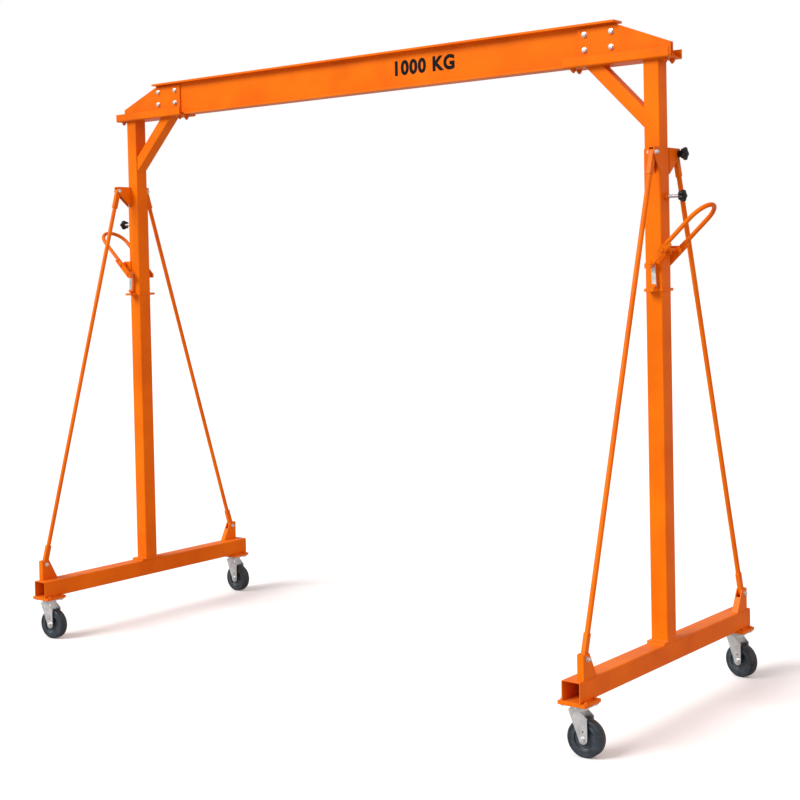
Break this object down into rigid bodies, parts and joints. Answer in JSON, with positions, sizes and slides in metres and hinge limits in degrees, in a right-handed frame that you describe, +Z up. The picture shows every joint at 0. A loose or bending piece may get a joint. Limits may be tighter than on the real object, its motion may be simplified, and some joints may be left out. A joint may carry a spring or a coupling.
{
  "type": "portable gantry crane",
  "caption": "Portable gantry crane: an I-beam on two telescoping braced legs with lever jacks, clamp screws and swivel casters.",
  "frame": {"origin": "on the floor, at the centre between the four casters and under the middle of the beam", "axes": "+X along the beam to the right leg, +Y to the rear, +Z up"},
  "size_m": [3.131, 1.23, 2.438],
  "materials": {
    "orange_paint": "gloss powder coat",
    "zinc_plate": "bright zinc plate",
    "black_knob": "satin moulded",
    "wheel_tread": "smooth hard tread"
  },
  "bodies": {
    "right_leg": {"right_base_tube": "orange_paint", "right_caster_pads": "orange_paint", "right_outer_mast": "orange_paint", "right_upper_brackets": "orange_paint", "right_lower_brackets": "orange_paint", "right_front_brace": "orange_paint", "right_rear_brace": "orange_paint", "right_brace_bolts": "zinc_plate", "right_lever_ears": "orange_paint", "right_caster_bolts": "orange_paint", "right_lever_pin": "orange_paint", "right_caster_plates": "zinc_plate"},
    "upper_frame": {"i_beam": "orange_paint", "web_gussets": "orange_paint", "web_bolts": "zinc_plate", "head_bolts": "orange_paint", "left_inner_mast": "orange_paint", "left_head_channel": "orange_paint", "left_knee_brace": "orange_paint", "right_inner_mast": "orange_paint", "right_head_channel": "orange_paint", "right_knee_brace": "orange_paint"},
    "left_leg": {"left_base_tube": "orange_paint", "left_caster_pads": "orange_paint", "left_outer_mast": "orange_paint", "left_upper_brackets": "orange_paint", "left_lower_brackets": "orange_paint", "left_front_brace": "orange_paint", "left_rear_brace": "orange_paint", "left_brace_bolts": "zinc_plate", "left_lever_ears": "orange_paint", "left_caster_bolts": "orange_paint", "left_lever_pin": "orange_paint", "left_caster_plates": "zinc_plate"},
    "left_lever": {"left_jack_lever": "orange_paint", "left_link_pins": "orange_paint"},
    "left_links": {"left_jack_links": "zinc_plate"},
    "left_collar": {"left_jack_collar": "orange_paint"},
    "left_clamp": {"left_clamp_screw": "zinc_plate", "left_clamp_knob": "black_knob"},
    "left_star_nut": {"left_brace_knob": "black_knob"},
    "right_lever": {"right_jack_lever": "orange_paint", "right_link_pins": "orange_paint"},
    "right_links": {"right_jack_links": "zinc_plate"},
    "right_collar": {"right_jack_collar": "orange_paint"},
    "right_clamp": {"right_clamp_screw": "zinc_plate", "right_clamp_knob": "black_knob"},
    "right_star_nut": {"right_brace_knob": "black_knob"},
    "left_front_caster": {"left_front_fork": "zinc_plate", "left_front_axle": "zinc_plate"},
    "left_front_wheel_turn": {"left_front_wheel": "wheel_tread"},
    "left_rear_caster": {"left_rear_fork": "zinc_plate", "left_rear_axle": "zinc_plate"},
    "left_rear_wheel_turn": {"left_rear_wheel": "wheel_tread"},
    "right_front_caster": {"right_front_fork": "zinc_plate", "right_front_axle": "zinc_plate"},
    "right_front_wheel_turn": {"right_front_wheel": "wheel_tread"},
    "right_rear_caster": {"right_rear_fork": "zinc_plate", "right_rear_axle": "zinc_plate"},
    "right_rear_wheel_turn": {"right_rear_wheel": "wheel_tread"}
  },
  "joints": [
    {"name": "height_slide", "type": "slide", "parent": "right_leg", "child": "upper_frame", "axis": [0, 0, 1], "range_m": [0, 1.2]},
    {"name": "left_leg_slide", "type": "slide", "parent": "upper_frame", "child": "left_leg", "axis": [0, 0, 1], "range_m": [-1.2, 0]},
    {"name": "left_lever_hinge", "type": "hinge", "parent": "left_leg", "child": "left_lever", "pos_m": [-1.403, 0, 1.623], "axis": [0, -1, 0], "range_deg": [0, 28]},
    {"name": "left_link_hinge", "type": "hinge", "parent": "left_lever", "child": "left_links", "pos_m": [-1.35692, 0, 1.58003], "axis": [0, -1, 0], "range_deg": [-40, 0]},
    {"name": "left_collar_slide", "type": "slide", "parent": "left_leg", "child": "left_collar", "axis": [0, 0, 1], "range_m": [0, 0.0285]},
    {"name": "left_clamp_turn", "type": "hinge", "parent": "left_leg", "child": "left_clamp", "pos_m": [-1.44, 0, 1.808], "axis": [1, 0, 0], "range_deg": [0, 450]},
    {"name": "left_star_nut_turn", "type": "hinge", "parent": "left_leg", "child": "left_star_nut", "pos_m": [-1.3845, 0.066, 1.96], "axis": [1, 0, 0], "range_deg": [0, 450]},
    {"name": "right_lever_hinge", "type": "hinge", "parent": "right_leg", "child": "right_lever", "pos_m": [1.403, 0, 1.623], "axis": [0, 1, 0], "range_deg": [0, 28]},
    {"name": "right_link_hinge", "type": "hinge", "parent": "right_lever", "child": "right_links", "pos_m": [1.35692, 0, 1.58003], "axis": [0, 1, 0], "range_deg": [-40, 0]},
    {"name": "right_collar_slide", "type": "slide", "parent": "right_leg", "child": "right_collar", "axis": [0, 0, 1], "range_m": [0, 0.0285]},
    {"name": "right_clamp_turn", "type": "hinge", "parent": "right_leg", "child": "right_clamp", "pos_m": [1.44, 0, 1.808], "axis": [1, 0, 0], "range_deg": [0, 450]},
    {"name": "right_star_nut_turn", "type": "hinge", "parent": "right_leg", "child": "right_star_nut", "pos_m": [1.3845, 0.1, 1.96], "axis": [1, 0, 0], "range_deg": [0, 450]},
    {"name": "left_front_swivel", "type": "hinge", "parent": "left_leg", "child": "left_front_caster", "pos_m": [-1.35, -0.565, 0.16], "axis": [0, 0, 1], "continuous": true},
    {"name": "left_front_roll", "type": "hinge", "parent": "left_front_caster", "child": "left_front_wheel_turn", "pos_m": [-1.32618, -0.56207, 0.0625], "axis": [-0.1219, 0.9925, 0], "continuous": true},
    {"name": "left_rear_swivel", "type": "hinge", "parent": "left_leg", "child": "left_rear_caster", "pos_m": [-1.35, 0.565, 0.16], "axis": [0, 0, 1], "continuous": true},
    {"name": "left_rear_roll", "type": "hinge", "parent": "left_rear_caster", "child": "left_rear_wheel_turn", "pos_m": [-1.326, 0.565, 0.0625], "axis": [0, 1, 0], "continuous": true},
    {"name": "right_front_swivel", "type": "hinge", "parent": "right_leg", "child": "right_front_caster", "pos_m": [1.35, -0.565, 0.16], "axis": [0, 0, 1], "continuous": true},
    {"name": "right_front_roll", "type": "hinge", "parent": "right_front_caster", "child": "right_front_wheel_turn", "pos_m": [1.37394, -0.56333, 0.0625], "axis": [-0.0698, 0.9976, 0], "continuous": true},
    {"name": "right_rear_swivel", "type": "hinge", "parent": "right_leg", "child": "right_rear_caster", "pos_m": [1.35, 0.565, 0.16], "axis": [0, 0, 1], "continuous": true},
    {"name": "right_rear_roll", "type": "hinge", "parent": "right_rear_caster", "child": "right_rear_wheel_turn", "pos_m": [1.37348, 0.56001, 0.0625], "axis": [0.2079, 0.9781, 0], "continuous": true}
  ],
  "couplings": [
    {"joint": "left_leg_slide", "follows": "height_slide", "ratio": -1},
    {"joint": "left_link_hinge", "follows": "left_lever_hinge", "ratio": -1.4095},
    {"joint": "left_collar_slide", "follows": "left_lever_hinge", "m_per_rad": 0.057559},
    {"joint": "right_link_hinge", "follows": "right_lever_hinge", "ratio": -1.4095},
    {"joint": "right_collar_slide", "follows": "right_lever_hinge", "m_per_rad": 0.057559}
  ]
}
